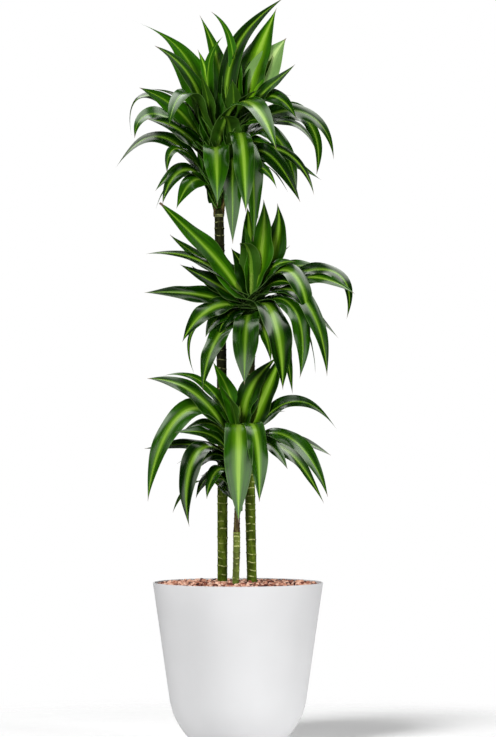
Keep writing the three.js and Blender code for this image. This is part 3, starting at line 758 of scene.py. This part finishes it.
def layBlade(blade, root, axis, row, draw, skins):  # a copy of the blade, laid along one leaf's midrib
    leaf = copyOf(blade, "leaf")
    points = pointsOf(leaf)
    look = {
        "late": draw.uniform(1, 1.25), "taper": draw.uniform(0.1, 0.5), "stripe": draw.uniform(0.15, 0.6),
        "tone": draw.random(), "rolledBy": bladeShape["rolledPart"], "pale": False,
    }
    look.update(row[9] if len(row) > 9 else {})
    width, roll = row[6] * bladeShape["broad"], row[7]
    t = np.clip(points[:, 0], 0, 1)
    later = t ** look["late"]
    past = np.maximum(later - bladeShape["widest"], 0) / (1 - bladeShape["widest"])
    points[:, 1:] *= (outline(later) / outline(t) * (1 - past ** 2 + 0.001) ** look["taper"])[:, None]
    curve, out = midrib(root, axis, row)
    centre, across, upper = alongCurve(curve, out, t)
    rolled = np.minimum(np.maximum(t - bladeShape["rolledFrom"], 0) / look["rolledBy"], 1)
    twist = np.radians(roll) * rolled + np.radians(draw.uniform(-6, 6)) * t * t
    cosine, sine = np.cos(twist)[:, None], np.sin(twist)[:, None]
    side = across * cosine + upper * sine
    top = upper * cosine - across * sine
    hand = points[:, 1] / (np.abs(points[:, 1]).max() + 1e-9) * 2
    phase, ripples = draw.uniform(0, 6.28), bladeShape["ripples"] * draw.uniform(0.8, 1.3)
    waves = np.sin(2 * math.pi * ripples * t + phase + hand) * np.sin(math.pi * t)  # strongest halfway along
    ripple = bladeShape["ripple"] * np.sign(hand) * np.abs(hand) ** 2.5 * waves
    lift = (points[:, 2] + ripple) * width
    movePoints(leaf, (centre + side * (points[:, 1] * width)[:, None] + top * lift[:, None]) * mm)
    # painted sheen: a silvery leaf gets a top painted pale grey-green in place of the light it mirrors
    if look["pale"]:
        leaf.data.materials[0] = skins["sheenPaintedLeafTop"]
    elif row[5] >= bladeShape["youngSlope"]:  # a leaf that still stands up is young and duller
        leaf.data.materials[0] = skins["youngLeafTop"]
    keepValue(leaf, "leafTone", look["tone"])
    keepValue(leaf, "leafStripe", look["stripe"])
    return leaf


def seededDraw(seed):  # the same numbers on every run
    state = seed

    def nextBetween(low, high):
        nonlocal state
        state = (state * 16807) % 2147483647
        return low + (high - low) * state / 2147483647

    return nextBetween


backRule = {  # at the lowest leaf, and what is added up to the highest
    "up": (0.3, 0.6), "reach": (190, -110), "tipHeight": (-110, 300), "rootSlope": (20, 60), "tipSlope": (-85, 140),
    "asideBy": 4, "reachBy": 15, "heightBy": 20, "width": (38, 50), "rollBy": 20,
}


def backLeaves(shoot, length):  # leaves behind the shoot: the lowest hang, the highest stand almost upright
    draw, rows = seededDraw(shoot["seed"]), []
    for i, turn in enumerate(shoot["back"]):
        high = (i + 0.5) / len(shoot["back"])
        parts = [backRule[part] for part in ("up", "reach", "tipHeight", "rootSlope", "tipSlope")]
        up, reach, height, rootSlope, tipSlope = (lowest + added * high for lowest, added in parts)
        aside, out, lift = (draw(-backRule[part], backRule[part]) for part in ("asideBy", "reachBy", "heightBy"))
        width, roll = draw(*backRule["width"]), draw(-backRule["rollBy"], backRule["rollBy"])
        rows.append([length * up, turn + aside, reach + out, height + lift, rootSlope, tipSlope, width, roll, 1])
    return rows


shootShape = {
    "sides": 14, "waist": 0.6, "topGirth": 4.4, "taperedBy": 160, "pitch": 11, "ring": 0.7, "plainTip": 18,
    "asideOver": 120, "dry": (srgb(20, 15, 5), srgb(46, 36, 15), srgb(108, 104, 52)),
    "green": (srgb(46, 76, 18), srgb(112, 140, 48)), "greenFrom": (0.22, 0.34), "streakScale": 500,
}


def modelShoot(name, shoot, foot, axis, length):  # the stem that carries the leaves, brown and ringed at its foot
    girth, waist = shoot["girth"], shootShape["waist"]
    rings, height = [(girth, -6), (girth, 3)], 7
    while height < length - shootShape["plainTip"]:
        radius = girth - waist + (shootShape["topGirth"] - girth + waist) * min(height / shootShape["taperedBy"], 1)
        rings += [(radius, height), (radius + shootShape["ring"], height + 2), (radius - 0.2, height + 3.5)]
        height += shootShape["pitch"]
    rings += [(4, length - 14), (2, length - 3), (0.6, length)]
    piece = extrudeRings(name, shootShape["sides"], rings)
    points = pointsOf(piece)
    keepValue(piece, "alongShoot", points[:, 2] / (length * mm))
    lean = Vector((0, 0, 1)).rotation_difference(Vector(axis)).to_matrix().to_4x4()
    piece.data.transform(Matrix.Translation(Vector(foot) * mm) @ lean)
    points = pointsOf(piece)
    near = np.clip(1 - (points[:, 2] / mm - foot[2]) / shootShape["asideOver"], 0, 1) ** 2
    points[:, 0] += shoot["footAside"] * mm * near
    movePoints(piece, points)
    smooth(piece, 60)
    return piece


leafColours = {  # on each kind of face from the edge to the stripe, then what all of them share
    "leafTop": (srgb(2, 18, 0), srgb(24, 60, 1), srgb(68, 108, 8), srgb(120, 150, 52)),
    "youngLeafTop": (srgb(4, 22, 0), srgb(31, 73, 2), srgb(80, 122, 10), srgb(120, 150, 52)),
    # painted sheen: pale grey-green colours for a silvery leaf's top, standing in for a reflection of the light
    "sheenPaintedLeafTop": (srgb(48, 78, 30), srgb(80, 108, 56), srgb(112, 138, 78), srgb(146, 168, 104)),
    "leafUnderside": (srgb(34, 62, 10), srgb(34, 62, 10), srgb(24, 60, 1), srgb(100, 136, 38)),
    # rim is a painted highlight along the leaf's edge
    # root is painted shade for the leaf bases deep in the crown
    "rim": srgb(96, 126, 62), "root": srgb(20, 44, 4), "tip": srgb(84, 70, 56), "sheen": (0.92, 1, 0.84, 1),
}
leafGloss = {  # how much each face mirrors, and how rough it is
    "leafTop": (0.42, 0.24), "youngLeafTop": (0.08, 0.4), "sheenPaintedLeafTop": (0.2, 0.4), "leafUnderside": (0.1, 0.55),
}


def leafMaterial(name):
    (dark, side, middle, stripe), (gloss, rough) = leafColours[name], leafGloss[name]
    material, wire = newMaterial(name, Roughness=rough, Specular_IOR_Level=gloss, Specular_Tint=leafColours["sheen"])
    spread = wire.node("UVMap", {"uv_map": "UVMap"})
    along, across = (wire.node("SeparateXYZ", None, {"Vector": spread}, axis) for axis in "XY")
    tone = wire.node("Attribute", {"attribute_name": "leafTone"}, output="Fac")
    wide = wire.node("Attribute", {"attribute_name": "leafStripe"}, output="Fac")

    def fibres(lengthwise, crosswise, shift, *noise):  # drawn out along the blade, and new on each leaf
        spot = wire.node("CombineXYZ", None, {"X": along * lengthwise, "Y": across * crosswise, "Z": shift})
        return spot.noise(1, *noise)

    streak = fibres(3, 60, tone * 40, 3, 0.6)
    fine = fibres(2, 150, tone * 30, 2)
    coarse = fibres(5, 9, tone * 40 + 7, 2)
    fromRib = ((across - 0.5) * 2).distance()
    half = (0.06 + 0.24 * wide) * (1.15 - 0.55 * along)  # half the stripe's width, from the root to the tip
    past = (fromRib + 0.3 * (streak - 0.5)) / half
    patches = (0.5 * coarse + 0.3 * fine - 0.3 * (tone - 0.45)).ramp((0.28, dark), (0.56, side))
    colour = patches.towards(middle, past.ease(3.2, 0.6) * (0.35 + 0.5 * wide))
    bright = past.ease(1.3, 0.4) * (0.3 + 0.6 * wide) * fine.ease(0.25, 0.5)
    colour = colour.towards(stripe, bright * (1 - 0.25 * tone))
    # painted shade: darker towards the root, where the leaves lie deep in the crown
    colour = colour.towards(leafColours["root"], along.ease(0.22, 0.04) * 0.6)
    # painted highlight: a thin pale line along the leaf's edge where it catches the light
    colour = colour.towards(leafColours["rim"], fromRib.ease(0.94, 0.99) * 0.3)
    colour = colour.towards(leafColours["tip"], (along + 0.05 * (streak - 0.5)).ease(0.955, 0.985))
    dull = rough - 0.08 + 0.16 * streak + 0.4 * along.ease(0.26, 0.08)  # dullest near the root
    return feed(material, Base_Color=colour, Roughness=dull, Bump=(streak, 0.06, 0.0005))


def shootMaterial():
    material, wire = newMaterial("leafSheath", Roughness=0.6, Specular_IOR_Level=0.2)
    along = wire.node("Attribute", {"attribute_name": "alongShoot"}, output="Fac")
    spot = wire.node("TexCoord", output="Object")
    streak = spot.stretch((1, 1, 0.1)).noise(shootShape["streakScale"], 3, 0.6)
    dry = streak.ramp(*zip((0.34, 0.55, 0.74), shootShape["dry"]))
    green = streak.ramp(*zip((0.3, 0.7), shootShape["green"]))
    colour = dry.towards(green, (along + 0.1 * (streak - 0.5)).ease(*shootShape["greenFrom"]))
    return feed(material, Base_Color=colour, Bump=(streak, 0.6, 0.001))


skins = {name: leafMaterial(name) for name in leafGloss}
sheath = shootMaterial()
blade = modelBlade(skins)
leafDraw = random.Random(bladeShape["seed"])
for node, names in heads.items():
    leaves, stems = [], []
    for name in names:
        shoot = shoots[name]
        foot, tip = np.array(shoot["foot"], float), np.array(shoot["tip"], float)
        length = float(np.linalg.norm(tip - foot))
        axis = (tip - foot) / length
        for row in shoot["leaves"] + backLeaves(shoot, length):
            leaves.append(layBlade(blade, foot + axis * row[0], axis, row, leafDraw, skins))
        stems.append(modelShoot(name + "_shoot", shoot, foot, axis, length))
    place(joinAll(leaves, node.replace("_leaves", "_foliage")), node, "leaf")
    place(joinAll(stems, node.replace("_leaves", "_shoots")), node, "leaf", sheath)
    print(node, "made:", len(leaves), "leaves")
bpy.data.objects.remove(blade)


# ---- floor, light and camera ----
studio = {
    "floorSize": 14, "floorColour": (0.985, 0.985, 0.985, 1), "floorDust": (0.97, 0.97, 0.97, 1), "dustScale": 0.6,
    "floorGlow": 0.08, "fade": (1.35, 0.55),
    "skyLight": 0.03, "roundLight": 0.42, "frontLight": 0.08, "bandEdges": (0.6, 0.2), "frontEdges": (0, -0.8),
    "overheadSheen": 5.6, "overheadEdges": (0.5, 0.66), "overheadFront": (-0.45, -0.1), "overheadAside": (0.08, 0.28),
    "frontSheen": 3.3, "sheenEdges": (-0.7, -0.84), "sheenTop": (0.5, 0.38),
    "lamps": [
        {"name": "key", "at": (-2.1, -3.65, 3.0), "aim": (0, 0, 0.7), "size": 1.7, "power": 318},
        {"name": "left", "at": (-4.6, -0.4, 0.9), "aim": (0, 0, 0.6), "size": 2.0, "power": 50},
        {"name": "back", "at": (1.2, 5.0, 1.2), "aim": (0, 0, 0.9), "size": 2.2, "power": 125},
        {"name": "fill", "at": (4.6, -2.8, 0.6), "aim": (0, 0, 0.6), "size": 2.0, "power": 355},
    ],
    "camera": {"at": (0.0235, -8.0, 0.805), "aim": (0.0235, 0, 0.8874), "lens": 166.1, "sensor": 36, "farthest": 100},
}


def setUp(name, data, at, aim):  # a lamp or the camera, aimed at a point
    holder = bpy.data.objects.new(name, data)
    bpy.context.scene.collection.objects.link(holder)
    holder.location = at
    holder.rotation_euler = (Vector(aim) - Vector(at)).to_track_quat("-Z", "Y").to_euler()
    return holder


def floorPaint():
    white, glow = (1, 1, 1, 1), studio["floorGlow"]
    material, wire = newMaterial(
        "paleFloor", Roughness=0.9, Specular_IOR_Level=0, Emission_Color=white, Emission_Strength=glow)
    spot = wire.node("TexCoord", output="Object")
    fromPot = wire.node("VectorMath", {"operation": "LENGTH"}, {0: spot}, "Value")
    colour = spot.noise(studio["dustScale"], 2).ramp((0.3, studio["floorDust"]), (0.7, studio["floorColour"]))
    return feed(material, Base_Color=colour, Alpha=fromPot.ease(*studio["fade"]))  # it fades into the white round it


def lightWorld():  # white to the camera, a soft band of light all round, and two bright boxes that the leaves mirror
    world = bpy.data.worlds.new("studio")
    bpy.context.scene.world = world
    world.use_nodes = True
    wire, background = Wire(world.node_tree), world.node_tree.nodes["Background"]
    background.inputs["Color"].default_value = (1, 1, 1, 1)
    seen, mirrored = (wire.node("LightPath", output=name) for name in ("Is Camera Ray", "Is Glossy Ray"))
    heading = wire.node("TexCoord", output="Generated")
    aside, backwards, upwards = (wire.node("SeparateXYZ", None, {"Vector": heading}, axis) for axis in "XYZ")
    band = studio["roundLight"] + studio["frontLight"] * backwards.ease(*studio["frontEdges"])
    sky = studio["skyLight"] + band * upwards.ease(*studio["bandEdges"])  # brightest round the horizon and in front
    overhead = studio["overheadSheen"] * upwards.ease(*studio["overheadEdges"])
    overhead = overhead * backwards.ease(*studio["overheadFront"]) * aside.distance().ease(*studio["overheadAside"])
    inFront = studio["frontSheen"] * backwards.ease(*studio["sheenEdges"]) * upwards.ease(*studio["sheenTop"])
    sky = sky + (overhead + inFront - sky) * mirrored
    world.node_tree.links.new((sky + (1 - sky) * seen).socket, background.inputs["Strength"])


bpy.context.scene.view_settings.view_transform = "Standard"
deselectAll()
bpy.ops.mesh.primitive_plane_add(size=studio["floorSize"])
floor = justAdded("floor")
floor.data.materials.append(floorPaint())
lightWorld()
for lamp in studio["lamps"]:
    light = bpy.data.lights.new(lamp["name"], "AREA")
    light.shape, light.size, light.energy = "DISK", lamp["size"], lamp["power"]
    setUp(lamp["name"], light, lamp["at"], lamp["aim"]).visible_glossy = False  # no bright patch on the leaves
view = studio["camera"]
camera = bpy.data.cameras.new("camera")
camera.lens, camera.sensor_width, camera.clip_end = view["lens"], view["sensor"], view["farthest"]
bpy.context.scene.camera = setUp("camera", camera, view["at"], view["aim"])
print("studio made")
